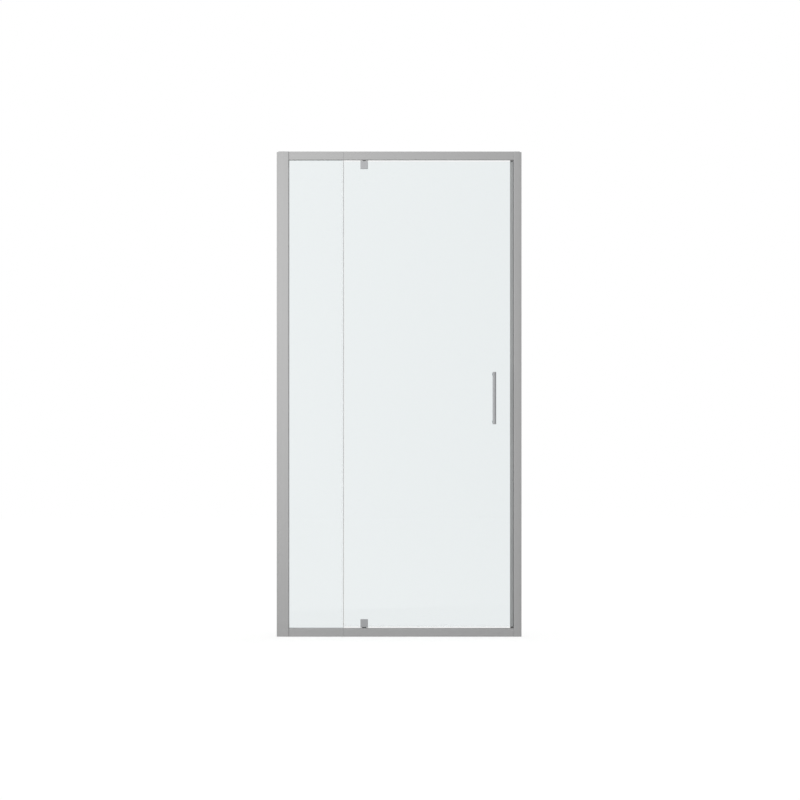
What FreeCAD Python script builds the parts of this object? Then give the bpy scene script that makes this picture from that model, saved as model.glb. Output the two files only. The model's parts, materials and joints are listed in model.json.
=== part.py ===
import FreeCAD, Part
import Sketcher
import os
import re

Vector = FreeCAD.Vector
doc = FreeCAD.newDocument("ShowerDoor")
sheet = doc.addObject("Spreadsheet::Sheet", "Sheet")
layout = doc.addObject("Spreadsheet::Sheet", "Layout")

# Framed pivot shower door with a fixed pane on its left, drawn closed.
# X runs to the right along the opening, Y into the shower, Z up.
# The origin is the middle of the sill's underside, on the plane of the glass. Millimetres.

sizes = [
    # the opening and the frame
    ("overall_width", "984", "wall to wall at the middle of the adjustment"),
    ("overall_height", "1950", "floor to the top of the frame"),
    ("left_post_width", "49", "wall to the inner face of the left jamb"),
    ("right_post_width", "32", "wall to the inner face of the right jamb"),
    ("jamb_depth", "42", "front to back"),
    ("jamb_round", "1.5", "radius of the jamb's two inner corners"),
    ("rail_depth", "34", "front to back"),
    ("rail_height", "34.5", "both rails"),
    ("rail_round", "1.5", "radius along the rail's edges"),
    ("profile_wall", "1.8", "wall of every aluminium profile"),
    ("cap_thickness", "2", "plate of the jamb's end cap"),
    ("cap_plug_depth", "10", "how far the cap's plug goes down the jamb"),
    ("cap_plug_half", "12", "half the plug's size front to back"),
    # the wall channels, which slide in the jambs
    ("adjust_travel", "6", "slide of each channel, each way"),
    ("wall_margin", "1", "jamb to wall with the channel pushed home"),
    ("channel_width", "23.5", "length of the channel's legs from the wall"),
    ("slide_gap", "0.3", "clearance of a piece that slides in another"),
    ("wall_hole_radius", "2.75", "holes for the wall screws"),
    ("wall_hole_end", "120", "outermost wall holes to the floor and to the top"),
    ("lock_from_wall", "17.5", "clamping screw to the wall"),
    ("lock_end", "175", "outermost clamping screws to the floor and to the top"),
    ("lock_radius", "2", "thread of the clamping screw"),
    ("lock_length", "4.6", "under the head"),
    ("lock_head_radius", "4.2", "covers the slot in the jamb"),
    ("lock_head_height", "2.6", "pan head"),
    # panes, pockets and gaskets
    ("glass_thickness", "6", "both panes"),
    ("glass_arris", "0.5", "ground edges of both panes"),
    ("gasket_thickness", "1.5", "between the glass and the pocket's walls"),
    ("pocket_depth", "14", "glazing pocket"),
    ("glass_bite", "11", "how far the fixed pane enters the pockets"),
    ("gasket_lip", "1.2", "how far the upright gasket stands out of its pocket"),
    ("rail_gasket_lip", "0.8", "how far the level gaskets stand out of theirs"),
    ("gasket_overhang", "1.2", "how far the lip covers the pocket's edge"),
    ("fixed_width", "219", "left jamb to the seam between the panes"),
    ("pane_gap", "5", "edge of one pane to the edge of the other"),
    ("seam_gap", "0.5", "between the two lengths of a rail"),
    ("door_edge_gap", "7", "door pane to the right jamb"),
    ("door_top_gap", "5", "door pane to the top rail"),
    ("door_bottom_gap", "5", "door pane to the bottom rail"),
    # screws into the ends of the rails
    ("port_radius", "4", "outside of the screw port in the rail"),
    ("port_inset", "5.6", "port's centre to the rail's outer face"),
    ("port_front", "11.4", "front port ahead of the glass plane"),
    ("port_back_fixed", "11.4", "back port of the fixed rails behind the glass plane"),
    ("port_back_door", "3", "back port of the door rails behind the glass plane"),
    ("corner_screw_radius", "2.1", "thread"),
    ("corner_screw_length", "25", "under the head"),
    ("corner_head_radius", "3.1", "pan head inside the jamb"),
    ("corner_head_height", "2.4", "pan head inside the jamb"),
    ("screw_point", "0.9", "slope at the point of every screw"),
    ("head_slope", "0.8", "slope at the edge of every pan head"),
    ("thread_gap", "0.05", "clearance around a screw's thread"),
    ("thread_runout", "1", "thread past the end of its screw"),
    ("hole_gap", "0.4", "clearance around a screw in a plain hole"),
    # joiner bars inside the rails' seam
    ("joiner_length", "84", "half of it in each rail"),
    ("joiner_screw_spacing", "44", "between the joiner's two screws"),
    ("joiner_screw_radius", "2", "thread"),
    ("joiner_screw_length", "9", "under the head"),
    ("joiner_head_radius", "3.8", "pan head"),
    ("joiner_head_height", "2.2", "pan head"),
    # pivots
    ("pivot_inset", "81", "pivot axis to the door's left edge"),
    ("pivot_gap", "3.5", "pivot block to the rail"),
    ("pin_radius", "3.5", "pivot pin"),
    ("pin_seat", "16", "pin's depth in its block"),
    ("pin_reach", "13", "pin's length in the rail"),
    ("pin_chamfer", "0.8", "both ends of the pin"),
    ("pivot_play", "0.05", "running clearance of the pin in its bush"),
    ("bush_radius", "6", "outside of the bush in the rail"),
    ("bush_length", "16", "inside the rail"),
    ("bush_flange_radius", "9", "against the rail"),
    ("bush_flange_thickness", "1.5", "against the rail"),
    ("thrust_thickness", "1.7", "washer that carries the door"),
    ("insert_length", "40", "block in the rail behind the bush"),
    ("insert_height", "22", "block in the rail behind the bush"),
    ("insert_screw_spacing", "26", "between the insert's two screws"),
    ("insert_screw_radius", "2", "thread"),
    ("insert_screw_length", "12", "under the head"),
    ("insert_head_radius", "3.4", "low head"),
    ("insert_head_height", "1.4", "low head"),
    # clamp blocks on the door pane
    ("block_width", "30", "along the pane"),
    ("block_height", "31.5", "up the pane"),
    ("block_plate", "8", "thickness of each half"),
    ("block_round", "1.2", "radius on the block's outer edges"),
    ("block_pad", "1", "soft pad between block and glass"),
    ("notch_width", "22", "cut-out in the pane for the block's core"),
    ("notch_depth", "20", "end of the block at the rail to the end of the cut-out"),
    ("notch_round", "4", "cut-out's inner corners"),
    ("core_gap", "0.4", "around the core in the cut-out"),
    ("core_key", "2", "core's end let into the front half"),
    ("block_screw_spacing", "14.8", "between the clamp's two screws"),
    ("block_screw_drop", "9.5", "screws below the block's edge at the rail"),
    ("block_screw_radius", "1.9", "thread"),
    ("block_thread_depth", "4", "thread in the front half past the core"),
    ("block_head_radius", "3.1", "socket head let into the inner half"),
    ("block_head_height", "3", "socket head let into the inner half"),
    ("block_socket_radius", "1.5", "socket's corner radius"),
    ("block_socket_depth", "1.8", "socket in the head"),
    # handle
    ("handle_length", "210", "bar, end to end"),
    ("handle_overhang", "10", "bar past the axis of each post"),
    ("handle_height", "959", "middle of the bar above the floor"),
    ("handle_from_edge", "70.5", "bar's axis to the door pane's right edge"),
    ("handle_reach", "50", "glass to the front of the bar"),
    ("bar_radius", "7", "round bar"),
    ("bar_round", "1.2", "edge of the bar's ends"),
    ("post_radius", "5.5", "post between bar and glass"),
    ("post_seat", "4", "post let into the bar"),
    ("handle_hole_radius", "5", "hole in the pane"),
    ("handle_bolt_radius", "3", "bolt through the pane"),
    ("handle_bolt_grip", "14", "bolt's length in the post"),
    ("handle_washer_radius", "7.6", "soft washers on both sides of the pane"),
    ("handle_washer", "1", "thickness of the washers"),
    ("bolt_cap_radius", "8", "rounded head inside the shower"),
    ("bolt_cap_height", "5", "rounded head inside the shower"),
    ("bolt_cap_round", "2.4", "edge of the rounded head"),
    # seals
    ("clip_leg", "7", "seal's grip on the glass"),
    ("clip_wall", "1", "wall of the seals"),
    ("seal_fit", "0.05", "between the glass and the seals and washers on it"),
    ("bubble_wall", "0.6", "wall of the soft bubble between the panes"),
    ("bubble_root", "0.3", "how far the bubble is let into its clip"),
    ("seal_gap", "0.6", "bubble to the door pane"),
    ("seal_end_gap", "0.6", "between the ends of seals and what they meet"),
    ("magnet_housing", "5.5", "door seal past the pane's edge"),
    ("magnet_half", "2.8", "half the door magnet's depth"),
    ("magnet_skin", "0.5", "seal's wall over the door magnet"),
    ("sweep_fin", "1.4", "fin below the door"),
    ("sweep_gap", "0.4", "fin to the bottom rail"),
    # strip that the door closes on
    ("strike_reach", "13.5", "strip's width from the right jamb"),
    ("strike_front", "4.6", "strip's front face behind the glass plane"),
    ("strike_back", "17", "strip's back face behind the glass plane"),
    ("strike_wall", "1.4", "wall of the strip"),
    ("strike_chamfer", "4", "strip's back corner"),
    ("strike_end_gap", "0.6", "strip's ends to the rails"),
    ("strike_slot_centre", "11", "slot in the jamb behind the glass plane"),
    ("strike_slot_half", "1.2", "half the slot's width"),
    ("strike_slot_depth", "6.5", "slot in the jamb"),
    ("strike_tongue_half", "1", "half the tongue's thickness"),
    ("strike_tongue_length", "5.5", "tongue in the slot"),
    ("strike_magnet_width", "7.2", "magnet let into the strip"),
    ("strike_magnet_depth", "3.4", "magnet let into the strip"),
    ("strike_magnet_inset", "2.6", "magnet to the right jamb"),
    ("magnet_gap", "0.1", "around the magnets"),
]

# Places that follow from the sizes.
places = [
    ("half_width", "overall_width / 2"),
    ("jamb_half", "jamb_depth / 2"),
    ("jamb_hollow", "jamb_half - profile_wall"),
    ("jamb_height", "overall_height - cap_thickness"),
    ("reveal", "adjust_travel + wall_margin"),
    ("left_outer", "-half_width + reveal"),
    ("left_inner", "-half_width + left_post_width"),
    ("right_outer", "half_width - reveal"),
    ("right_inner", "half_width - right_post_width"),
    ("channel_half", "jamb_hollow - slide_gap"),
    ("channel_height", "jamb_height - slide_gap"),
    ("lock_x", "half_width - lock_from_wall"),
    ("lock_top", "overall_height - lock_end"),
    ("lock_span", "overall_height - 2 * lock_end"),
    ("wall_hole_span", "overall_height - 2 * wall_hole_end"),
    ("rail_half", "rail_depth / 2"),
    ("rail_hollow", "rail_half - profile_wall"),
    ("top_rail_low", "overall_height - rail_height"),
    ("top_port", "overall_height - port_inset"),
    ("glass_half", "glass_thickness / 2"),
    ("pocket_half", "glass_half + gasket_thickness"),
    ("lip_half", "pocket_half + gasket_overhang"),
    ("clip_inside", "glass_half + seal_fit"),
    ("clip_outside", "glass_half + clip_wall"),
    ("seam", "left_inner + fixed_width"),
    ("fixed_edge", "seam - pane_gap / 2"),
    ("door_left", "seam + pane_gap / 2"),
    ("door_right", "right_inner - door_edge_gap"),
    ("door_low", "rail_height + door_bottom_gap"),
    ("door_high", "top_rail_low - door_top_gap"),
    ("bubble_radius", "(pane_gap - clip_wall - seal_gap + bubble_root) / 2"),
    ("joiner_height", "rail_height - port_inset - port_radius - pocket_depth - profile_wall - slide_gap"),
    ("joiner_middle", "pocket_depth + profile_wall + joiner_height / 2"),
    ("joiner_foot", "profile_wall + slide_gap"),
    ("joiner_crest", "rail_height - profile_wall - slide_gap"),
    ("joiner_leg", "pocket_half + profile_wall + slide_gap"),
    ("tongue_front", "-port_front + port_radius + slide_gap"),
    ("tongue_back", "port_back_door - port_radius - slide_gap"),
    ("pivot_x", "door_left + pivot_inset"),
    ("pivot_hole", "pin_radius + pivot_play"),
    ("block_half", "block_width / 2"),
    ("sweep_start", "insert_screw_spacing / 2 + insert_head_radius + seal_end_gap"),
    ("block_face", "glass_half + block_pad"),
    ("notch_half", "notch_width / 2"),
    ("notch_high", "top_rail_low - pivot_gap - notch_depth"),
    ("notch_low", "rail_height + pivot_gap + notch_depth"),
    ("core_half", "notch_half - core_gap"),
    ("core_depth", "notch_depth - core_gap"),
    ("handle_x", "door_right - handle_from_edge"),
    ("post_spacing", "handle_length - 2 * handle_overhang"),
    ("upper_post", "handle_height + post_spacing / 2"),
    ("lower_post", "handle_height - post_spacing / 2"),
    ("bar_y", "-glass_half - handle_reach + bar_radius"),
    ("post_foot", "glass_half + handle_washer"),
    ("post_length", "-bar_y - bar_radius + post_seat - post_foot"),
    ("strike_left", "right_inner - strike_reach"),
    ("magnet_right", "right_inner - strike_magnet_inset"),
    ("magnet_left", "magnet_right - strike_magnet_width"),
]

size_names = {name for name, number, note in sizes}
place_names = {name for name, formula in places}


def bound(text):
    """Write each size or place named in the text as a reference to its cell."""

    def cell(match):
        word = match.group(0)
        if word in size_names:
            return "Sheet." + word
        if word in place_names:
            return "Layout." + word
        return word

    return re.sub(r"[a-z_]+", cell, text)


def value(text):
    return float(layout.evalExpression(bound(text)))


for row, (name, number, note) in enumerate(sizes, start=1):
    sheet.set(f"A{row}", name)
    sheet.set(f"B{row}", number)
    sheet.set(f"C{row}", note)
    sheet.setAlias(f"B{row}", name)
doc.recompute()
for row, (name, formula) in enumerate(places, start=1):
    layout.set(f"A{row}", name)
    layout.set(f"B{row}", "=" + bound(formula))
    layout.setAlias(f"B{row}", name)
    doc.recompute()

# The normal of each origin plane, as an axis and a sign.
plane_normals = {"XY_Plane": ("Z", 1), "XZ_Plane": ("Y", -1), "YZ_Plane": ("X", 1)}
nodes = []


def new_body(label, several_solids=False):
    body = doc.addObject("PartDesign::Body", label)
    body.Label = label
    body.AllowCompound = several_solids
    nodes.append(body)
    return body


def origin_feature(body, role):
    return [feature for feature in body.Origin.OriginFeatures if feature.Role == role][0]


def sketch_on(body, plane, at="0"):
    """A sketch parallel to an origin plane, at a place along that plane's axis."""
    sketch = body.newObject("Sketcher::SketchObject", body.Name + "_sketch")
    sketch.AttachmentSupport = (origin_feature(body, plane), [""])
    sketch.MapMode = "FlatFace"
    sign = plane_normals[plane][1]
    sketch.setExpression("AttachmentOffset.Base.z", bound(f"{sign} * ({at})"))
    return sketch


def drive(sketch, kind, geometry, point, text):
    """Hold one coordinate of a point, or a radius, at an expression."""
    number = value(text)
    if kind == "Radius":
        index = sketch.addConstraint(Sketcher.Constraint(kind, geometry, number))
    else:
        index = sketch.addConstraint(Sketcher.Constraint(kind, -1, 1, geometry, point, number))
    sketch.setExpression(f"Constraints[{index}]", bound(text))


def add_outline(sketch, corners):
    """A closed outline of straight lines through corners given as pairs of expressions."""
    first = sketch.GeometryCount
    count = len(corners)
    points = [Vector(value(across), value(up), 0) for across, up in corners]
    for i in range(count):
        sketch.addGeometry(Part.LineSegment(points[i], points[(i + 1) % count]), False)
    for i in range(count):
        after = first + (i + 1) % count
        sketch.addConstraint(Sketcher.Constraint("Coincident", first + i, 2, after, 1))
    for i, (across, up) in enumerate(corners):
        drive(sketch, "DistanceX", first + i, 1, across)
        drive(sketch, "DistanceY", first + i, 1, up)


def add_box(sketch, left, right, low, high):
    add_outline(sketch, [(left, low), (right, low), (right, high), (left, high)])


def add_circle(sketch, across, up, radius):
    centre = Vector(value(across), value(up), 0)
    circle = Part.Circle(centre, Vector(0, 0, 1), value(radius))
    index = sketch.addGeometry(circle, False)
    drive(sketch, "DistanceX", index, 3, across)
    drive(sketch, "DistanceY", index, 3, up)
    drive(sketch, "Radius", index, 0, radius)


def add_slot(sketch, across, up, half_travel, radius):
    """A slot along the sketch's first axis: two half circles joined by lines."""
    size = value(radius)
    middle = Vector(value(across), value(up), 0)
    step = Vector(value(half_travel), 0, 0)
    rise = Vector(0, size, 0)
    side = Vector(size, 0, 0)
    right_arc = Part.Arc(middle + step - rise, middle + step + side, middle + step + rise)
    left_arc = Part.Arc(middle - step + rise, middle - step - side, middle - step - rise)
    right = sketch.addGeometry(right_arc, False)
    top = sketch.addGeometry(Part.LineSegment(middle + step + rise, middle - step + rise), False)
    left = sketch.addGeometry(left_arc, False)
    low = sketch.addGeometry(Part.LineSegment(middle - step - rise, middle + step - rise), False)
    ring = [right, top, left, low]
    for here, after in zip(ring, ring[1:] + ring[:1]):
        sketch.addConstraint(Sketcher.Constraint("Tangent", here, 2, after, 1))
    for arc, shift in ((right, "+"), (left, "-")):
        drive(sketch, "DistanceX", arc, 3, f"{across} {shift} {half_travel}")
        drive(sketch, "DistanceY", arc, 3, up)
        drive(sketch, "Radius", arc, 0, radius)


def plane_of(sketch):
    return sketch.AttachmentSupport[0][0].Role


def pad(sketch, length, way):
    """Extrude a sketch along +X, -Z and so on."""
    body = sketch.getParentGeoFeatureGroup()
    axis, sign = plane_normals[plane_of(sketch)]
    feature = body.newObject("PartDesign::Pad", body.Name + "_pad")
    feature.Profile = sketch
    feature.setExpression("Length", bound(length))
    feature.Reversed = way != ("+" if sign > 0 else "-") + axis
    sketch.Visibility = False
    doc.recompute()
    return feature


def pocket(sketch, length, way):
    """Cut a sketch out of its body along +X, -Z and so on; it must remove something."""
    body = sketch.getParentGeoFeatureGroup()
    before = body.Shape.Volume
    axis, sign = plane_normals[plane_of(sketch)]
    feature = body.newObject("PartDesign::Pocket", body.Name + "_pocket")
    feature.Profile = sketch
    feature.setExpression("Length", bound(length))
    feature.Reversed = way == ("+" if sign > 0 else "-") + axis
    sketch.Visibility = False
    doc.recompute()
    if not body.Shape.Volume < before - 1e-3:
        raise ValueError(f"{feature.Name} cuts nothing from {body.Label}")
    return feature


def revolve(body, corners):
    """Turn an outline of radius and height pairs about the body's Z axis."""
    sketch = sketch_on(body, "XZ_Plane")
    add_outline(sketch, corners)
    feature = body.newObject("PartDesign::Revolution", body.Name + "_turned")
    feature.Profile = sketch
    feature.ReferenceAxis = (sketch, ["V_Axis"])
    feature.Angle = 360
    sketch.Visibility = False
    doc.recompute()
    return feature


def repeat(features, axis, length, count):
    """Repeat features in a line; the length is from the first to the last."""
    body = features[0].getParentGeoFeatureGroup()
    pattern = body.newObject("PartDesign::LinearPattern", body.Name + "_row")
    pattern.Originals = features
    pattern.Direction = (origin_feature(body, axis), [""])
    pattern.setExpression("Length", bound(length))
    pattern.Occurrences = count
    body.Tip = pattern
    doc.recompute()
    return pattern


def repeat_grid(feature, rows):
    """Repeat a feature along two axes at once."""
    body = feature.getParentGeoFeatureGroup()
    grid = body.newObject("PartDesign::MultiTransform", body.Name + "_grid")
    grid.Originals = [feature]
    steps = []
    for axis, length in rows:
        step = body.newObject("PartDesign::LinearPattern", body.Name + "_row")
        step.Direction = (origin_feature(body, axis), [""])
        step.setExpression("Length", bound(length))
        step.Occurrences = 2
        steps.append(step)
    grid.Transformations = steps
    body.Tip = grid
    doc.recompute()
    return grid


def edges_along(body, axis, corners):
    """Names of straight edges along an axis that pass through the given corners."""
    ways = {"X": Vector(1, 0, 0), "Y": Vector(0, 1, 0), "Z": Vector(0, 0, 1)}
    others = {"X": ("y", "z"), "Y": ("x", "z"), "Z": ("x", "y")}[axis]
    wanted = [(value(first), value(second)) for first, second in corners]
    names = []
    for index, edge in enumerate(body.Tip.Shape.Edges, start=1):
        ends = [vertex.Point for vertex in edge.Vertexes]
        if len(ends) != 2:
            continue
        if edge.Curve.TypeId != "Part::GeomLine":
            continue
        run = ends[1] - ends[0]
        if run.cross(ways[axis]).Length > 1e-6 * run.Length:
            continue
        here = (getattr(ends[0], others[0]), getattr(ends[0], others[1]))
        if any(abs(here[0] - a) + abs(here[1] - b) < 1e-4 for a, b in wanted):
            names.append(f"Edge{index}")
    return names


def ring_edges(body, height):
    """Names of the circles at one height of a turned body."""
    names = []
    for index, edge in enumerate(body.Tip.Shape.Edges, start=1):
        if edge.Curve.TypeId != "Part::GeomCircle":
            continue
        if abs(edge.Curve.Center.z - value(height)) < 1e-4:
            names.append(f"Edge{index}")
    return names


def fillet(body, names, radius):
    base = body.Tip
    feature = body.newObject("PartDesign::Fillet", body.Name + "_fillet")
    feature.Base = (base, names)
    feature.setExpression("Radius", bound(radius))
    doc.recompute()
    return feature


def arris(body):
    """Grind the edges round both faces of a pane."""
    base = body.Tip
    reach = value("glass_half")
    names = []
    for index, edge in enumerate(base.Shape.Edges, start=1):
        if edge.BoundBox.YLength > 1e-4:
            continue
        if abs(abs(edge.Vertexes[0].Y) - reach) < 1e-4:
            names.append(f"Edge{index}")
    feature = body.newObject("PartDesign::Chamfer", body.Name + "_arris")
    feature.Base = (base, names)
    feature.setExpression("Size", bound("glass_arris"))
    doc.recompute()
    return feature


def place(body, x="0", y="0", z="0", turn=None):
    """Put a body's own origin at a place, turned about an axis."""
    if turn:
        axis, angle = turn
        body.Placement = FreeCAD.Placement(Vector(), FreeCAD.Rotation(axis, angle))
    for name, text in (("x", x), ("y", y), ("z", z)):
        body.setExpression(f"Placement.Base.{name}", bound(text))
    doc.recompute()


# Turns that lay a body's Z axis along another axis.
to_right = (Vector(0, 1, 0), 90)
to_left = (Vector(0, 1, 0), -90)
to_back = (Vector(1, 0, 0), -90)
to_front = (Vector(1, 0, 0), 90)


def screw_profile(radius, length, head_radius, head_height):
    """A pan head on top of a shank that points down from the body's origin."""
    return [
        ("0", f"-{length}"),
        (f"{radius} - screw_point", f"-{length}"),
        (radius, f"-{length} + screw_point"),
        (radius, "0"),
        (head_radius, "0"),
        (head_radius, f"{head_height} - head_slope"),
        (f"{head_radius} - head_slope", head_height),
        ("0", head_height),
    ]


def wall_channel(label, wall, way):
    """U profile screwed to the wall; the jamb slides over its legs."""
    body = new_body(label)
    tip = f"{wall} {way} channel_width"
    web = f"{wall} {way} profile_wall"
    inside = "channel_half - profile_wall"
    section = sketch_on(body, "XY_Plane")
    add_outline(section, [
        (wall, "-channel_half"),
        (tip, "-channel_half"),
        (tip, f"-({inside})"),
        (web, f"-({inside})"),
        (web, inside),
        (tip, inside),
        (tip, "channel_half"),
        (wall, "channel_half"),
    ])
    pad(section, "channel_height", "+Z")
    holes = sketch_on(body, "YZ_Plane", wall)
    add_circle(holes, "0", "wall_hole_end", "wall_hole_radius")
    first = pocket(holes, "profile_wall", way + "X")
    repeat([first], "Z_Axis", "wall_hole_span", 4)
    threads = sketch_on(body, "XZ_Plane", "channel_half")
    sign = "-" if way == "+" else ""
    add_circle(threads, f"{sign}lock_x", "lock_end", "lock_radius + thread_gap")
    lowest = pocket(threads, "profile_wall", "-Y")
    repeat([lowest], "Z_Axis", "lock_span", 3)
    return body


def lock_screws(label, sign):
    """Clamping screws from the back of the jamb into the wall channel's leg."""
    body = new_body(label, several_solids=True)
    screw = revolve(body, screw_profile("lock_radius", "lock_length", "lock_head_radius", "lock_head_height"))
    repeat([screw], "Y_Axis", "lock_span", 3)
    place(body, f"{sign}lock_x", "jamb_half", "lock_top", to_back)
    return body


def jamb(label, inner, outer, away, centre, half, depth, back_port):
    """Post profile, open towards the wall, with a slot down its inner face."""
    body = new_body(label)
    skin = f"{inner} {away} profile_wall"
    slot_end = f"{inner} {away} {depth}"
    slot_skin = f"{slot_end} {away} profile_wall"
    section = sketch_on(body, "XY_Plane")
    add_outline(section, [
        (outer, "-jamb_half"),
        (inner, "-jamb_half"),
        (inner, f"{centre} - {half}"),
        (slot_end, f"{centre} - {half}"),
        (slot_end, f"{centre} + {half}"),
        (inner, f"{centre} + {half}"),
        (inner, "jamb_half"),
        (outer, "jamb_half"),
        (outer, "jamb_hollow"),
        (skin, "jamb_hollow"),
        (skin, f"{centre} + {half} + profile_wall"),
        (slot_skin, f"{centre} + {half} + profile_wall"),
        (slot_skin, f"{centre} - {half} - profile_wall"),
        (skin, f"{centre} - {half} - profile_wall"),
        (skin, "-jamb_hollow"),
        (outer, "-jamb_hollow"),
    ])
    pad(section, "jamb_height", "+Z")
    fillet(body, edges_along(body, "Z", [(inner, "-jamb_half"), (inner, "jamb_half")]), "jamb_round")
    slots = sketch_on(body, "XZ_Plane", "jamb_half")
    sign = "-" if away == "-" else ""
    add_slot(slots, f"{sign}lock_x", "lock_end", "adjust_travel", "lock_radius + hole_gap")
    lowest = pocket(slots, "profile_wall", "-Y")
    repeat([lowest], "Z_Axis", "lock_span", 3)
    holes = sketch_on(body, "YZ_Plane", inner)
    for across in ("-port_front", back_port):
        for up in ("port_inset", "top_port"):
            add_circle(holes, across, up, "corner_screw_radius + hole_gap")
    pocket(holes, "profile_wall", away + "X")
    return body


def jamb_cap(label, inner, outer, plug_near, plug_far):
    """Moulded cap on top of a jamb, with a plug inside the profile."""
    body = new_body(label)
    plate = sketch_on(body, "XY_Plane", "jamb_height")
    add_box(plate, outer, inner, "-jamb_half", "jamb_half")
    pad(plate, "cap_thickness", "+Z")
    fillet(body, edges_along(body, "Z", [(inner, "-jamb_half"), (inner, "jamb_half")]), "jamb_round")
    plug = sketch_on(body, "XY_Plane", "jamb_height")
    add_box(plug, plug_near, plug_far, "-cap_plug_half", "cap_plug_half")
    pad(plug, "cap_plug_depth", "-Z")
    return body


def corner_screws(label, start, back_port, turn):
    """Screws through a jamb's inner wall into the ports of both rails."""
    body = new_body(label, several_solids=True)
    screw = revolve(body, screw_profile(
        "corner_screw_radius", "corner_screw_length", "corner_head_radius", "corner_head_height"))
    repeat_grid(screw, [("Y_Axis", f"port_front + {back_port}"), ("X_Axis", "top_port - port_inset")])
    # turned to the left the body's X axis points up, turned to the right it points down
    height = "port_inset" if turn is to_left else "top_port"
    place(body, start, "-port_front", height, turn)
    return body


def rail(label, start, end, face, mouth, into, back_port, glazed):
    """Hollow rail with two screw ports; a glazed one has a pocket for the fixed pane.

    face is the rail's outer side, mouth the side towards the panes, and into the sign from mouth to face.
    """
    body = new_body(label)
    out_of = "-" if into == "+" else "+"
    face_skin = f"{face} {out_of} profile_wall"
    mouth_skin = f"{mouth} {into} profile_wall"
    bottom = f"{mouth} {into} pocket_depth"
    bottom_skin = f"{bottom} {into} profile_wall"
    section = sketch_on(body, "YZ_Plane", start)
    outside = [("-rail_half", face), ("rail_half", face), ("rail_half", mouth)]
    hollow = [("-rail_hollow", face_skin), ("rail_hollow", face_skin), ("rail_hollow", mouth_skin)]
    if glazed:
        outside += [("pocket_half", mouth), ("pocket_half", bottom)]
        outside += [("-pocket_half", bottom), ("-pocket_half", mouth)]
        edge = "pocket_half + profile_wall"
        hollow += [(edge, mouth_skin), (edge, bottom_skin)]
        hollow += [(f"-({edge})", bottom_skin), (f"-({edge})", mouth_skin)]
    outside.append(("-rail_half", mouth))
    hollow.append(("-rail_hollow", mouth_skin))
    add_outline(section, outside)
    add_outline(section, hollow)
    pad(section, f"{end} - ({start})", "+X")
    corners = [(side, up) for side in ("-rail_half", "rail_half") for up in (face, mouth)]
    fillet(body, edges_along(body, "X", corners), "rail_round")
    ports = sketch_on(body, "YZ_Plane", start)
    bores = sketch_on(body, "YZ_Plane", start)
    for across in ("-port_front", back_port):
        add_circle(ports, across, f"{face} {out_of} port_inset", "port_radius")
        add_circle(bores, across, f"{face} {out_of} port_inset", "corner_screw_radius + thread_gap")
    pad(ports, f"{end} - ({start})", "+X")
    pocket(bores, f"{end} - ({start})", "+X")
    screws = sketch_on(body, "XZ_Plane", "rail_half")
    at = "seam - joiner_screw_spacing / 2" if glazed else "seam + joiner_screw_spacing / 2"
    add_circle(screws, at, f"{mouth} {into} joiner_middle", "joiner_screw_radius + hole_gap")
    pocket(screws, "profile_wall", "-Y")
    return body


def pivot_holes(body, mouth, into):
    """Holes in a door rail for the bush and for the insert's screws."""
    holes = sketch_on(body, "XY_Plane", mouth)
    add_circle(holes, "pivot_x", "0", "bush_radius + thread_gap")
    for shift in ("-", "+"):
        across = f"pivot_x {shift} insert_screw_spacing / 2"
        add_circle(holes, across, "0", "insert_screw_radius + hole_gap")
    pocket(holes, "profile_wall", into + "Z")


def joiner(label, mouth, into):
    """Bar inside the two lengths of a rail, which closes their seam from behind.

    Its legs stand beside the glazing pocket and its tongue passes between the screw ports.
    """
    body = new_body(label)
    section = sketch_on(body, "YZ_Plane", "seam - joiner_length / 2")
    foot = f"{mouth} {into} joiner_foot"
    low = f"{mouth} {into} (pocket_depth + profile_wall)"
    high = f"{low} {into} joiner_height"
    crest = f"{mouth} {into} joiner_crest"
    add_outline(section, [
        ("-rail_hollow", foot),
        ("-joiner_leg", foot),
        ("-joiner_leg", low),
        ("joiner_leg", low),
        ("joiner_leg", foot),
        ("rail_hollow", foot),
        ("rail_hollow", high),
        ("tongue_back", high),
        ("tongue_back", crest),
        ("tongue_front", crest),
        ("tongue_front", high),
        ("-rail_hollow", high),
    ])
    pad(section, "joiner_length", "+X")
    threads = sketch_on(body, "XZ_Plane", "rail_hollow")
    for shift in ("-", "+"):
        across = f"seam {shift} joiner_screw_spacing / 2"
        add_circle(threads, across, f"{mouth} {into} joiner_middle", "joiner_screw_radius + thread_gap")
    pocket(threads, "joiner_screw_length + thread_runout", "-Y")
    return body


def joiner_screws(label, mouth, into):
    body = new_body(label, several_solids=True)
    screw = revolve(body, screw_profile(
        "joiner_screw_radius", "joiner_screw_length", "joiner_head_radius", "joiner_head_height"))
    repeat([screw], "X_Axis", "joiner_screw_spacing", 2)
    across = "seam - joiner_screw_spacing / 2"
    place(body, across, "rail_half", f"{mouth} {into} joiner_middle", to_back)
    return body


def gasket_outline(inner, into, lip_length):
    """U round the edge of the fixed pane, with lips over the pocket's edges.

    Pairs run from the pocket's mouth inwards and across the glass.
    """
    out_of = "-" if into == "+" else "+"
    bottom = f"{inner} {into} pocket_depth"
    edge = f"{inner} {into} glass_bite"
    lip = f"{inner} {out_of} {lip_length}"
    return [
        (bottom, "-pocket_half"),
        (inner, "-pocket_half"),
        (inner, "-lip_half"),
        (lip, "-glass_half - gasket_overhang"),
        (lip, "-glass_half"),
        (edge, "-glass_half"),
        (edge, "glass_half"),
        (lip, "glass_half"),
        (lip, "glass_half + gasket_overhang"),
        (inner, "lip_half"),
        (inner, "pocket_half"),
        (bottom, "pocket_half"),
    ]


def upright_gasket(label):
    body = new_body(label)
    section = sketch_on(body, "XY_Plane", "rail_height")
    add_outline(section, gasket_outline("left_inner", "-", "gasket_lip"))
    pad(section, "top_rail_low - rail_height", "+Z")
    return body


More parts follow.
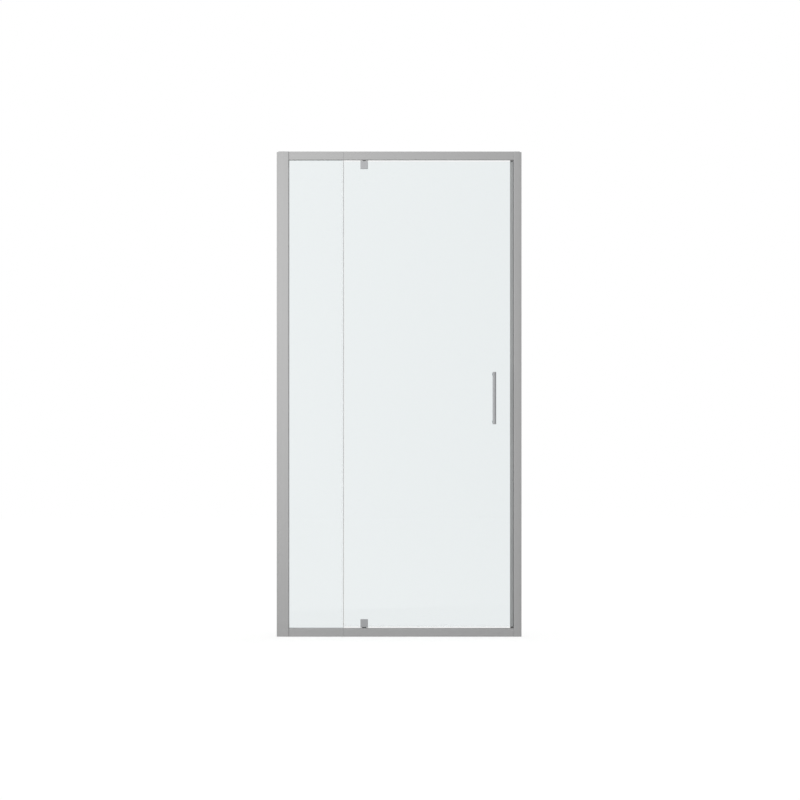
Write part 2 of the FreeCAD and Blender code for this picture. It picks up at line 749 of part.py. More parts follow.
def level_gasket(label, mouth, into):
    body = new_body(label)
    section = sketch_on(body, "YZ_Plane", "left_inner + gasket_lip")
    outline = gasket_outline(mouth, into, "rail_gasket_lip")
    add_outline(section, [(across, up) for up, across in outline])
    pad(section, "fixed_edge - left_inner - gasket_lip", "+X")
    return body


def fixed_pane(label):
    body = new_body(label)
    outline = sketch_on(body, "XZ_Plane", "-glass_half")
    left = "left_inner - glass_bite"
    add_box(outline, left, "fixed_edge", "rail_height - glass_bite", "top_rail_low + glass_bite")
    pad(outline, "glass_thickness", "+Y")
    arris(body)
    return body


def pane_seal(label):
    """Clip on the free edge of the fixed pane, with a soft bubble that fills the gap to the door."""
    body = new_body(label)
    start = "rail_height + rail_gasket_lip + seal_end_gap"
    end = "top_rail_low - rail_gasket_lip - seal_end_gap"
    grip = "fixed_edge - clip_leg"
    web = "fixed_edge + clip_wall"
    clip = sketch_on(body, "XY_Plane", start)
    add_outline(clip, [
        (grip, "-clip_outside"),
        (web, "-clip_outside"),
        (web, "clip_outside"),
        (grip, "clip_outside"),
        (grip, "clip_inside"),
        ("fixed_edge + seal_fit", "clip_inside"),
        ("fixed_edge + seal_fit", "-clip_inside"),
        (grip, "-clip_inside"),
    ])
    pad(clip, f"{end} - ({start})", "+Z")
    bubble = sketch_on(body, "XY_Plane", start)
    middle = f"{web} - bubble_root + bubble_radius"
    add_circle(bubble, middle, "0", "bubble_radius")
    add_circle(bubble, middle, "0", "bubble_radius - bubble_wall")
    pad(bubble, f"{end} - ({start})", "+Z")
    return body


def strike_strip(label):
    """Hollow strip snapped into the right jamb; the door closes on its magnet."""
    body = new_body(label)
    bed = "strike_front + strike_magnet_depth + magnet_gap"
    groove_left = "magnet_left - magnet_gap"
    groove_right = "magnet_right + magnet_gap"
    tongue = "right_inner + strike_tongue_length"
    cut = "strike_chamfer"
    section = sketch_on(body, "XY_Plane", "rail_height + strike_end_gap")
    add_outline(section, [
        ("strike_left", "strike_front"),
        (groove_left, "strike_front"),
        (groove_left, bed),
        (groove_right, bed),
        (groove_right, "strike_front"),
        ("right_inner", "strike_front"),
        ("right_inner", "strike_slot_centre - strike_tongue_half"),
        (tongue, "strike_slot_centre - strike_tongue_half"),
        (tongue, "strike_slot_centre + strike_tongue_half"),
        ("right_inner", "strike_slot_centre + strike_tongue_half"),
        ("right_inner", "strike_back"),
        (f"strike_left + {cut}", "strike_back"),
        ("strike_left", f"strike_back - {cut}"),
    ])
    shelf = f"{bed} + strike_wall"
    add_outline(section, [
        ("strike_left + strike_wall", shelf),
        ("right_inner - strike_wall", shelf),
        ("right_inner - strike_wall", "strike_back - strike_wall"),
        (f"strike_left + {cut} + strike_wall / 2", "strike_back - strike_wall"),
        ("strike_left + strike_wall", f"strike_back - {cut} - strike_wall / 2"),
    ])
    pad(section, "top_rail_low - rail_height - 2 * strike_end_gap", "+Z")
    return body


def strike_magnet(label):
    body = new_body(label)
    section = sketch_on(body, "XY_Plane", "rail_height + strike_end_gap")
    add_box(section, "magnet_left", "magnet_right", "strike_front + magnet_gap",
            "strike_front + strike_magnet_depth + magnet_gap")
    pad(section, "top_rail_low - rail_height - 2 * strike_end_gap", "+Z")
    return body


def pivot_insert(label, mouth, into):
    """Block inside a door rail that backs up the bush."""
    body = new_body(label)
    floor = f"{mouth} {into} profile_wall"
    outline = sketch_on(body, "XY_Plane", floor)
    add_box(outline, "pivot_x - insert_length / 2", "pivot_x + insert_length / 2",
            "-rail_hollow + slide_gap", "rail_hollow - slide_gap")
    add_circle(outline, "pivot_x", "0", "bush_radius + thread_gap")
    pad(outline, "insert_height", into + "Z")
    threads = sketch_on(body, "XY_Plane", floor)
    for shift in ("-", "+"):
        across = f"pivot_x {shift} insert_screw_spacing / 2"
        add_circle(threads, across, "0", "insert_screw_radius + thread_gap")
    pocket(threads, "insert_screw_length", into + "Z")
    return body


def insert_screws(label, mouth, turn):
    body = new_body(label, several_solids=True)
    screw = revolve(body, screw_profile(
        "insert_screw_radius", "insert_screw_length", "insert_head_radius", "insert_head_height"))
    repeat([screw], "X_Axis", "insert_screw_spacing", 2)
    place(body, "pivot_x - insert_screw_spacing / 2", "0", mouth, turn)
    return body


def pivot_bush(label, mouth, turn):
    """Flanged bush; its flange lies against the rail and its sleeve inside it."""
    body = new_body(label)
    revolve(body, [
        ("pivot_hole", "-bush_flange_thickness"),
        ("bush_flange_radius", "-bush_flange_thickness"),
        ("bush_flange_radius", "0"),
        ("bush_radius", "0"),
        ("bush_radius", "bush_length"),
        ("pivot_hole", "bush_length"),
    ])
    place(body, "pivot_x", "0", mouth, turn)
    return body


def thrust_washer(label):
    """Washer on the lower bush that the door stands on."""
    body = new_body(label)
    revolve(body, [
        ("pivot_hole", "0"),
        ("bush_flange_radius", "0"),
        ("bush_flange_radius", "thrust_thickness"),
        ("pivot_hole", "thrust_thickness"),
    ])
    place(body, "pivot_x", "0", "rail_height + bush_flange_thickness")
    return body


def pivot_pin(label, block_edge, turn):
    """Pin seated in a pivot block, its free end in the rail's bush."""
    body = new_body(label)
    end = "pivot_gap + pin_reach"
    revolve(body, [
        ("0", "-pin_seat"),
        ("pin_radius - pin_chamfer", "-pin_seat"),
        ("pin_radius", "-pin_seat + pin_chamfer"),
        ("pin_radius", f"{end} - pin_chamfer"),
        ("pin_radius - pin_chamfer", end),
        ("0", end),
    ])
    place(body, "pivot_x", "0", block_edge, turn)
    return body


def door_pane(label):
    """Toughened pane, cut out for the pivot blocks and drilled for the handle."""
    body = new_body(label)
    left = "pivot_x - notch_half"
    right = "pivot_x + notch_half"
    outline = sketch_on(body, "XZ_Plane", "-glass_half")
    add_outline(outline, [
        ("door_left", "door_low"),
        (left, "door_low"),
        (left, "notch_low"),
        (right, "notch_low"),
        (right, "door_low"),
        ("door_right", "door_low"),
        ("door_right", "door_high"),
        (right, "door_high"),
        (right, "notch_high"),
        (left, "notch_high"),
        (left, "door_high"),
        ("door_left", "door_high"),
    ])
    for up in ("upper_post", "lower_post"):
        add_circle(outline, "handle_x", up, "handle_hole_radius")
    pad(outline, "glass_thickness", "+Y")
    corners = [(across, up) for across in (left, right) for up in ("notch_low", "notch_high")]
    fillet(body, edges_along(body, "Y", corners), "notch_round")
    arris(body)
    return body


def block_screw_places(block_edge, inward):
    up = f"{block_edge} {inward} block_screw_drop"
    return [(f"pivot_x {shift} block_screw_spacing / 2", up) for shift in ("-", "+")]


def block_inner(label, block_edge, inward):
    """Clamp half inside the shower, with the core that fills the pane's cut-out and holds the pin."""
    body = new_body(label)
    far = f"{block_edge} {inward} block_height"
    plate = sketch_on(body, "XZ_Plane", "block_face")
    add_box(plate, "pivot_x - block_half", "pivot_x + block_half", block_edge, far)
    pad(plate, "block_plate", "+Y")
    back = "block_face + block_plate"
    rims = edges_along(body, "X", [(back, block_edge), (back, far)])
    rims += edges_along(body, "Z", [("pivot_x - block_half", back), ("pivot_x + block_half", back)])
    fillet(body, rims, "block_round")
    core_end = f"{block_edge} {inward} core_depth"
    core = sketch_on(body, "XZ_Plane", "block_face")
    add_box(core, "pivot_x - core_half", "pivot_x + core_half", block_edge, core_end)
    pad(core, "2 * block_face + core_key", "-Y")
    corners = [("pivot_x - core_half", core_end), ("pivot_x + core_half", core_end)]
    fillet(body, edges_along(body, "Y", corners), "notch_round")
    bore = sketch_on(body, "XY_Plane", block_edge)
    add_circle(bore, "pivot_x", "0", "pin_radius + thread_gap")
    pocket(bore, "pin_seat", inward + "Z")
    shanks = sketch_on(body, "XZ_Plane", back)
    heads = sketch_on(body, "XZ_Plane", back)
    for across, up in block_screw_places(block_edge, inward):
        add_circle(shanks, across, up, "block_screw_radius + thread_gap")
        add_circle(heads, across, up, "block_head_radius + slide_gap")
    pocket(shanks, "block_plate + 2 * block_face + core_key", "-Y")
    pocket(heads, "block_head_height + slide_gap", "-Y")
    return body


def block_cover(label, block_edge, inward):
    """Plain clamp half that shows on the outside of the door."""
    body = new_body(label)
    far = f"{block_edge} {inward} block_height"
    plate = sketch_on(body, "XZ_Plane", "-block_face")
    add_box(plate, "pivot_x - block_half", "pivot_x + block_half", block_edge, far)
    pad(plate, "block_plate", "-Y")
    front = "-block_face - block_plate"
    rims = edges_along(body, "X", [(front, block_edge), (front, far)])
    rims += edges_along(body, "Z", [("pivot_x - block_half", front), ("pivot_x + block_half", front)])
    fillet(body, rims, "block_round")
    recess = sketch_on(body, "XZ_Plane", "-block_face")
    add_box(recess, "pivot_x - notch_half", "pivot_x + notch_half", block_edge,
            f"{block_edge} {inward} notch_depth")
    pocket(recess, "core_key", "-Y")
    threads = sketch_on(body, "XZ_Plane", "-block_face")
    for across, up in block_screw_places(block_edge, inward):
        add_circle(threads, across, up, "block_screw_radius + thread_gap")
    pocket(threads, "core_key + block_thread_depth", "-Y")
    return body


def block_pads(label, block_edge, inward):
    """Soft pads on both faces of the glass, cut out round the core."""
    body = new_body(label, several_solids=True)
    far = f"{block_edge} {inward} block_height"
    notch = f"{block_edge} {inward} notch_depth"
    for at, way in (("glass_half", "+Y"), ("-glass_half", "-Y")):
        outline = sketch_on(body, "XZ_Plane", at)
        add_outline(outline, [
            ("pivot_x - block_half", block_edge),
            ("pivot_x - block_half", far),
            ("pivot_x + block_half", far),
            ("pivot_x + block_half", block_edge),
            ("pivot_x + notch_half", block_edge),
            ("pivot_x + notch_half", notch),
            ("pivot_x - notch_half", notch),
            ("pivot_x - notch_half", block_edge),
        ])
        pad(outline, "block_pad", way)
    return body


def block_screws(label, block_edge, inward):
    """Socket screws that pull the two clamp halves together."""
    body = new_body(label, several_solids=True)
    shank = "block_plate - block_head_height - slide_gap + 2 * block_face + core_key + block_thread_depth"
    screw = revolve(body, [
        ("0", f"-({shank}) + thread_runout"),
        ("block_screw_radius", f"-({shank}) + thread_runout"),
        ("block_screw_radius", "0"),
        ("block_head_radius", "0"),
        ("block_head_radius", "block_head_height"),
        ("0", "block_head_height"),
    ])
    socket = sketch_on(body, "XY_Plane", "block_head_height")
    turns = [f"{60 * k} deg" for k in range(6)]
    add_outline(socket, [
        (f"block_socket_radius * cos({turn})", f"block_socket_radius * sin({turn})") for turn in turns
    ])
    recess = pocket(socket, "block_socket_depth", "-Z")
    repeat([screw, recess], "X_Axis", "block_screw_spacing", 2)
    across, up = block_screw_places(block_edge, inward)[0]
    place(body, across, "block_face + block_plate - block_head_height - slide_gap", up, to_back)
    return body


def handle_bar(label):
    """Round bar, bored at the back for its two posts."""
    body = new_body(label)
    low = "handle_height - handle_length / 2"
    section = sketch_on(body, "XY_Plane", low)
    add_circle(section, "handle_x", "bar_y", "bar_radius")
    pad(section, "handle_length", "+Z")
    ends = ring_edges(body, low) + ring_edges(body, f"{low} + handle_length")
    fillet(body, ends, "bar_round")
    seats = sketch_on(body, "XZ_Plane", "bar_y + bar_radius")
    for up in ("upper_post", "lower_post"):
        add_circle(seats, "handle_x", up, "post_radius")
    pocket(seats, "post_seat", "-Y")
    return body


def handle_post(label, up):
    """Post from the pane to the bar, threaded for its bolt."""
    body = new_body(label)
    revolve(body, [
        ("handle_bolt_radius + thread_gap", "0"),
        ("post_radius", "0"),
        ("post_radius", "post_length"),
        ("0", "post_length"),
        ("0", "handle_bolt_grip + thread_runout"),
        ("handle_bolt_radius + thread_gap", "handle_bolt_grip + thread_runout"),
    ])
    place(body, "handle_x", "-post_foot", up, to_front)
    return body


def handle_sleeves(label):
    """Washers in front of the pane, with sleeves that line its holes."""
    body = new_body(label, several_solids=True)
    sleeve = revolve(body, [
        ("handle_bolt_radius + thread_gap", "-glass_thickness"),
        ("handle_hole_radius - thread_gap", "-glass_thickness"),
        ("handle_hole_radius - thread_gap", "seal_fit"),
        ("handle_washer_radius", "seal_fit"),
        ("handle_washer_radius", "handle_washer"),
        ("handle_bolt_radius + thread_gap", "handle_washer"),
    ])
    repeat([sleeve], "Y_Axis", "post_spacing", 2)
    place(body, "handle_x", "-glass_half", "lower_post", to_front)
    return body


def handle_washers(label):
    """Washers behind the pane."""
    body = new_body(label, several_solids=True)
    washer = revolve(body, [
        ("handle_bolt_radius + thread_gap", "seal_fit"),
        ("handle_washer_radius", "seal_fit"),
        ("handle_washer_radius", "handle_washer"),
        ("handle_bolt_radius + thread_gap", "handle_washer"),
    ])
    repeat([washer], "Y_Axis", "post_spacing", 2)
    place(body, "handle_x", "glass_half", "upper_post", to_back)
    return body


def handle_bolts(label):
    """Bolts from inside the shower into the posts, with rounded heads."""
    body = new_body(label, several_solids=True)
    shank = "2 * post_foot + handle_bolt_grip"
    bolt = revolve(body, [
        ("0", f"-({shank})"),
        ("handle_bolt_radius", f"-({shank})"),
        ("handle_bolt_radius", "0"),
        ("bolt_cap_radius", "0"),
        ("bolt_cap_radius", "bolt_cap_height - bolt_cap_round"),
        ("bolt_cap_radius - bolt_cap_round", "bolt_cap_height"),
        ("0", "bolt_cap_height"),
    ])
    repeat([bolt], "Y_Axis", "post_spacing", 2)
    place(body, "handle_x", "post_foot", "upper_post", to_back)
    return body


def closing_seal(label):
    """Clip on the door's closing edge, with a hollow for the magnet."""
    body = new_body(label)
    grip = "door_right - clip_leg"
    section = sketch_on(body, "XY_Plane", "door_low")
    add_outline(section, [
        (grip, "-clip_outside"),
        ("door_right + magnet_housing", "-clip_outside"),
        ("door_right + magnet_housing", "clip_outside"),
        (grip, "clip_outside"),
        (grip, "clip_inside"),
        ("door_right + seal_fit", "clip_inside"),
        ("door_right + seal_fit", "-clip_inside"),
        (grip, "-clip_inside"),
    ])
    add_box(section, "door_right + clip_wall", "door_right + magnet_housing - magnet_skin",
            "-magnet_half - magnet_gap", "magnet_half + magnet_gap")
    pad(section, "door_high - door_low", "+Z")
    return body


def closing_magnet(label):
    body = new_body(label)
    section = sketch_on(body, "XY_Plane", "door_low")
    add_box(section, "door_right + clip_wall", "door_right + magnet_housing - magnet_skin - magnet_gap",
            "-magnet_half", "magnet_half")
    pad(section, "door_high - door_low", "+Z")
    return body


def sweep_seal(label, start, end):
    """Clip under the door with a fin down to the bottom rail."""
    body = new_body(label)
    top = "door_low + clip_leg"
    floor = "door_low - clip_wall"
    tip = "rail_height + sweep_gap"
    section = sketch_on(body, "YZ_Plane", start)
    add_outline(section, [
        ("-clip_outside", top),
        ("-clip_inside", top),
        ("-clip_inside", "door_low - seal_fit"),
        ("clip_inside", "door_low - seal_fit"),
        ("clip_inside", top),
        ("clip_outside", top),
        ("clip_outside", floor),
        ("sweep_fin / 2", floor),
        ("sweep_fin / 2", tip),
        ("-sweep_fin / 2", tip),
        ("-sweep_fin / 2", floor),
        ("-clip_outside", floor),
    ])
    pad(section, f"{end} - ({start})", "+X")
    return body


# Wall channels and their clamping screws.
wall_channel("wall_channel_left", "-half_width", "+")
wall_channel("wall_channel_right", "half_width", "-")
lock_screws("lock_screws_left", "-")
lock_screws("lock_screws_right", "")

# Posts. The left one is glazed; the right one has a slot for the strip the door closes on.
jamb("jamb_left", "left_inner", "left_outer", "-", "0", "pocket_half", "pocket_depth", "port_back_fixed")
jamb("jamb_right", "right_inner", "right_outer", "+", "strike_slot_centre", "strike_slot_half",
     "strike_slot_depth", "port_back_door")
jamb_cap("jamb_cap_left", "left_inner", "left_outer",
         "left_outer + profile_wall + slide_gap", "left_inner - pocket_depth - profile_wall")
jamb_cap("jamb_cap_right", "right_inner", "right_outer",
         "right_inner + strike_slot_depth + 2 * profile_wall", "right_outer - profile_wall - slide_gap")

# Rails, in two lengths each, and what joins them.
fixed_end = "seam - seam_gap / 2"
door_start = "seam + seam_gap / 2"
rail("rail_top_fixed", "left_inner", fixed_end, "overall_height", "top_rail_low", "+",
     "port_back_fixed", True)
rail("rail_bottom_fixed", "left_inner", fixed_end, "0", "rail_height", "-", "port_back_fixed", True)
top_rail = rail("rail_top_door", door_start, "right_inner", "overall_height", "top_rail_low", "+",
                "port_back_door", False)
bottom_rail = rail("rail_bottom_door", door_start, "right_inner", "0", "rail_height", "-",
                   "port_back_door", False)
pivot_holes(top_rail, "top_rail_low", "+")
pivot_holes(bottom_rail, "rail_height", "-")
joiner("rail_joiner_top", "top_rail_low", "+")
joiner("rail_joiner_bottom", "rail_height", "-")
joiner_screws("joiner_screws_top", "top_rail_low", "+")
joiner_screws("joiner_screws_bottom", "rail_height", "-")
corner_screws("corner_screws_left", "left_inner - profile_wall", "port_back_fixed", to_left)
corner_screws("corner_screws_right", "right_inner + profile_wall", "port_back_door", to_right)

# Fixed pane and its gaskets.
fixed_pane("fixed_pane")
upright_gasket("gasket_left")
level_gasket("gasket_top", "top_rail_low", "+")
level_gasket("gasket_bottom", "rail_height", "-")
pane_seal("pane_seal")

# Strip on the right post.
strike_strip("strike_strip")
strike_magnet("strike_magnet")

# Door pane and its seals.
door_pane("door_pane")
closing_seal("closing_seal")
closing_magnet("closing_magnet")
sweep_seal("sweep_seal_main", "pivot_x + sweep_start", "door_right - clip_leg - seal_end_gap")
sweep_seal("sweep_seal_tail", "door_left + seal_end_gap", "pivot_x - sweep_start")

# Pivots. Turned over, a piece that points up into the top rail points down into the bottom rail.
turned_over = (Vector(1, 0, 0), 180)
for end, mouth, into, inward, turn in (
    ("top", "top_rail_low", "+", "-", None),
    ("bottom", "rail_height", "-", "+", turned_over),
):
    edge = f"{mouth} {inward} pivot_gap"
    pivot_insert(f"pivot_insert_{end}", mouth, into)
    insert_screws(f"insert_screws_{end}", mouth, turned_over if turn is None else None)
    pivot_bush(f"pivot_bush_{end}", mouth, turn)
    pivot_pin(f"pivot_pin_{end}", edge, turn)
    block_inner(f"pivot_block_{end}", edge, inward)
    block_cover(f"pivot_cover_{end}", edge, inward)
    block_pads(f"pivot_pads_{end}", edge, inward)
    block_screws(f"pivot_screws_{end}", edge, inward)
thrust_washer("thrust_washer")

# Handle.
handle_bar("handle_bar")
handle_post("handle_post_upper", "upper_post")
handle_post("handle_post_lower", "lower_post")
handle_sleeves("handle_sleeves")
handle_washers("handle_washers")
handle_bolts("handle_bolts")

doc.recompute()
for item in doc.Objects:
    if "Invalid" in item.State or "Error" in item.State:
        raise ValueError(f"{item.Label} did not compute: {item.State}")
os.makedirs("parts", exist_ok=True)
for body in nodes:
    shape = body.Shape
    if shape.isNull() or not shape.isValid() or not shape.Solids:
        raise ValueError(f"{body.Label} has no sound solid")
    shape.exportStep(f"parts/{body.Label}.step")
    print(f"{body.Label}: {len(shape.Solids)} solid(s), {shape.Volume / 1000:.2f} cm3")
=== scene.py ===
import bpy
import json
from math import pi
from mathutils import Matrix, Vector

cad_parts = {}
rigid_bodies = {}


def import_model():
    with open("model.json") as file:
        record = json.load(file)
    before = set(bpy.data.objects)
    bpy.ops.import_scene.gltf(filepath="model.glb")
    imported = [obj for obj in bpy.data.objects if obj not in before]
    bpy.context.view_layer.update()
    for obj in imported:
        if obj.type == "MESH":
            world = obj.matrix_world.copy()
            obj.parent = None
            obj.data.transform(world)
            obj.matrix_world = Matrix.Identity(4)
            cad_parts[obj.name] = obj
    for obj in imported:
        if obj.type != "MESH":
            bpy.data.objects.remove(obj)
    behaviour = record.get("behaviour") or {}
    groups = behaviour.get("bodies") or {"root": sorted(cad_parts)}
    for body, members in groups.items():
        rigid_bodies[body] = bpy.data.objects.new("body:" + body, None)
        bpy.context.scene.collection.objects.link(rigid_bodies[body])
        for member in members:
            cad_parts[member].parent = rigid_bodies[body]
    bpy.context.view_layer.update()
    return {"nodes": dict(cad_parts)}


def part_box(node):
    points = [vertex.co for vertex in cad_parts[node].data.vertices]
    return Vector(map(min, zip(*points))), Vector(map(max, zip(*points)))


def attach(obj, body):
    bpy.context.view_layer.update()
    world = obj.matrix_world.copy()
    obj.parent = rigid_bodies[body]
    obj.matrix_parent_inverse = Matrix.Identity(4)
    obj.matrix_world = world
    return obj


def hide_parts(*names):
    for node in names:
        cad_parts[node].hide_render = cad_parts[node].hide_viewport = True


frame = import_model()
cadNodes = frame["nodes"]
print("frame loaded:", len(cadNodes), "nodes")

noiseLow, noiseHigh = 0.3, 0.7  # nearly all of a noise texture's values lie between these
tiny = 1e-6                     # m, slack when points are picked by place or merged


def hexColour(text):
    # sRGB hex to linear, which is what shader sockets take
    parts = [int(text[start:start + 2], 16) / 255 for start in (1, 3, 5)]
    linear = [part / 12.92 if part <= 0.04045 else ((part + 0.055) / 1.055) ** 2.4
              for part in parts]
    return (*linear, 1.0)


def addNode(tree, kind, inputs={}, **settings):
    # one node, with plain values set on its sockets and other nodes' outputs linked to them;
    # a socket goes by its name, or by its number where the node has several of that name
    node = tree.nodes.new("ShaderNode" + kind)
    for name, setting in settings.items():
        setattr(node, name, setting)
    for name, given in inputs.items():
        if isinstance(given, bpy.types.NodeSocket):
            tree.links.new(given, node.inputs[name])
        else:
            node.inputs[name].default_value = given
    return node


def emptyMaterial(name):
    material = bpy.data.materials.new(name)
    material.use_nodes = True
    material.node_tree.nodes.clear()
    return material, material.node_tree


def perMetre(*millimetres):
    # how many of a pattern's features there are in a metre, along X, Y and Z
    return [1000 / size for size in millimetres]


aluminium = {
    "colour": "#aeaeae",
    "paler": "#b3b3b3",
    "lineWidth": 2.5,      # mm; die lines are nearer 0.3, drawn wider so that they show at all
    "lineLength": 700,     # mm that one line runs before it fades
    "grit": 0.9,           # mm, grain of the etch under the anodising
    "gritDepth": 0.02,     # mm
    "gritBump": 0.12,
    "smoothest": 0.44,
    "roughest": 0.52,
}


def anodisedAluminium(name, along):
    # satin anodised extrusion: soft even grey, faint lines along the profile, a fine dull grain
    material, tree = emptyMaterial(name)
    sizes = [aluminium["lineWidth"]] * 3
    sizes["XYZ".index(along)] = aluminium["lineLength"]
    place = addNode(tree, "TexCoord").outputs["Object"]
    stretched = addNode(tree, "Mapping", {"Vector": place, "Scale": perMetre(*sizes)})
    lines = addNode(tree, "TexNoise", {"Vector": stretched.outputs[0], "Scale": 1.0, "Detail": 3.0})
    grain = addNode(tree, "TexNoise", {"Vector": place, "Scale": 1000 / aluminium["grit"],
                                       "Detail": 2.0})
    tone = addNode(tree, "Mix", {0: lines.outputs["Fac"], 6: hexColour(aluminium["colour"]),
                                 7: hexColour(aluminium["paler"])}, data_type="RGBA")
    rough = addNode(tree, "MapRange", {0: lines.outputs["Fac"], 1: noiseLow, 2: noiseHigh,
                                       3: aluminium["smoothest"], 4: aluminium["roughest"]})
    bump = addNode(tree, "Bump", {"Height": grain.outputs["Fac"], "Strength": aluminium["gritBump"],
                                  "Distance": aluminium["gritDepth"] / 1000})
    shader = addNode(tree, "BsdfPrincipled", {
        "Base Color": tone.outputs[2], "Metallic": 1.0, "Roughness": rough.outputs[0],
        "Normal": bump.outputs[0]})
    addNode(tree, "OutputMaterial", {"Surface": shader.outputs[0]})
    return material


chrome = {
    "colour": "#a9aaac",
    "paler": "#b0b1b3",
    "brush": 0.5,          # mm between brush marks, wider than real so that they show close up
    "brushLength": 40,     # mm
    "brushDepth": 0.01,    # mm
    "brushBump": 0.1,
    "smoothest": 0.4,
    "roughest": 0.48,
}


def satinChrome(name, along):
    # satin chrome plate over brushed zinc: as grey as the frame, a little glossier, brushed one way
    material, tree = emptyMaterial(name)
    sizes = [chrome["brush"]] * 3
    sizes["XYZ".index(along)] = chrome["brushLength"]
    place = addNode(tree, "TexCoord").outputs["Object"]
    stretched = addNode(tree, "Mapping", {"Vector": place, "Scale": perMetre(*sizes)})
    marks = addNode(tree, "TexNoise", {"Vector": stretched.outputs[0], "Scale": 1.0, "Detail": 4.0})
    tone = addNode(tree, "Mix", {0: marks.outputs["Fac"], 6: hexColour(chrome["colour"]),
                                 7: hexColour(chrome["paler"])}, data_type="RGBA")
    rough = addNode(tree, "MapRange", {0: marks.outputs["Fac"], 1: noiseLow, 2: noiseHigh,
                                       3: chrome["smoothest"], 4: chrome["roughest"]})
    bump = addNode(tree, "Bump", {"Height": marks.outputs["Fac"], "Strength": chrome["brushBump"],
                                  "Distance": chrome["brushDepth"] / 1000})
    shader = addNode(tree, "BsdfPrincipled", {
        "Base Color": tone.outputs[2], "Metallic": 1.0, "Roughness": rough.outputs[0],
        "Normal": bump.outputs[0]})
    addNode(tree, "OutputMaterial", {"Surface": shader.outputs[0]})
    return material


glass = {
    "tint": "#b4c8cb",     # with the density, 6 mm leaves about 82% of red and 87% of blue light
    "density": 60.0,       # per metre
    "shade": "#e2eaec",    # what lamp light is after passing through
    "wave": 260,           # mm, the roller wave of toughening
    "waveDepth": 0.04,     # mm
    "waveBump": 0.2,
    "ior": 1.52,
}


def toughenedGlass(name):
    # clear float glass, toughened on rollers: a faint blue green, dark only along its edges,
    # reflections gently wavy
    material, tree = emptyMaterial(name)
    place = addNode(tree, "TexCoord").outputs["Object"]
    waves = addNode(tree, "TexNoise", {"Vector": place, "Scale": 1000 / glass["wave"],
                                       "Detail": 0.0})
    bump = addNode(tree, "Bump", {"Height": waves.outputs["Fac"], "Strength": glass["waveBump"],
                                  "Distance": glass["waveDepth"] / 1000})
    clear = addNode(tree, "BsdfPrincipled", {
        "Base Color": (1.0, 1.0, 1.0, 1.0), "Roughness": 0.0, "IOR": glass["ior"],
        "Transmission Weight": 1.0, "Normal": bump.outputs[0]})
    lamps = addNode(tree, "BsdfTransparent", {"Color": hexColour(glass["shade"])})
    path = addNode(tree, "LightPath")
    either = addNode(tree, "MixShader", {0: path.outputs["Is Shadow Ray"], 1: clear.outputs[0],
                                         2: lamps.outputs[0]})
    inside = addNode(tree, "VolumeAbsorption", {"Color": hexColour(glass["tint"]),
                                                "Density": glass["density"]})
    addNode(tree, "OutputMaterial", {"Surface": either.outputs[0], "Volume": inside.outputs[0]})
    return material


# The seals' PVC by its kind: two tones, a grain size in mm, a roughness range,
# and cover, the share of light that one skin of it stops.
pvc = {
    # rigid clear clip: see-through, with a faint milky cast
    "clearPvc": {"colour": "#dfe4e4", "paler": "#eef1f1", "grain": 6.0,
                 "smoothest": 0.12, "roughest": 0.25, "cover": 0.01},
    # soft bubble between the panes: frosted, so that the gap reads as a grey line
    "softPvc": {"colour": "#9da3a3", "paler": "#aab0b0", "grain": 3.0,
                "smoothest": 0.4, "roughest": 0.55, "cover": 0.24},
    # magnet seal: grey and nearly opaque, so that the magnet hardly shows
    "greyPvc": {"colour": "#bec1c1", "paler": "#c7caca", "grain": 4.0,
                "smoothest": 0.25, "roughest": 0.4, "cover": 0.8},
}
pvcIor = 1.53


def sealPvc(name):
    # extruded PVC: a slightly uneven skin, light showing through it
    look = pvc[name]
    material, tree = emptyMaterial(name)
    place = addNode(tree, "TexCoord").outputs["Object"]
    skin = addNode(tree, "TexNoise", {"Vector": place, "Scale": 1000 / look["grain"],
                                      "Detail": 2.0})
    tone = addNode(tree, "Mix", {0: skin.outputs["Fac"], 6: hexColour(look["colour"]),
                                 7: hexColour(look["paler"])}, data_type="RGBA")
    rough = addNode(tree, "MapRange", {0: skin.outputs["Fac"], 1: noiseLow, 2: noiseHigh,
                                       3: look["smoothest"], 4: look["roughest"]})
    shader = addNode(tree, "BsdfPrincipled", {
        "Base Color": tone.outputs[2], "Roughness": rough.outputs[0], "IOR": pvcIor,
        "Alpha": look["cover"]})
    addNode(tree, "OutputMaterial", {"Surface": shader.outputs[0]})
    return material


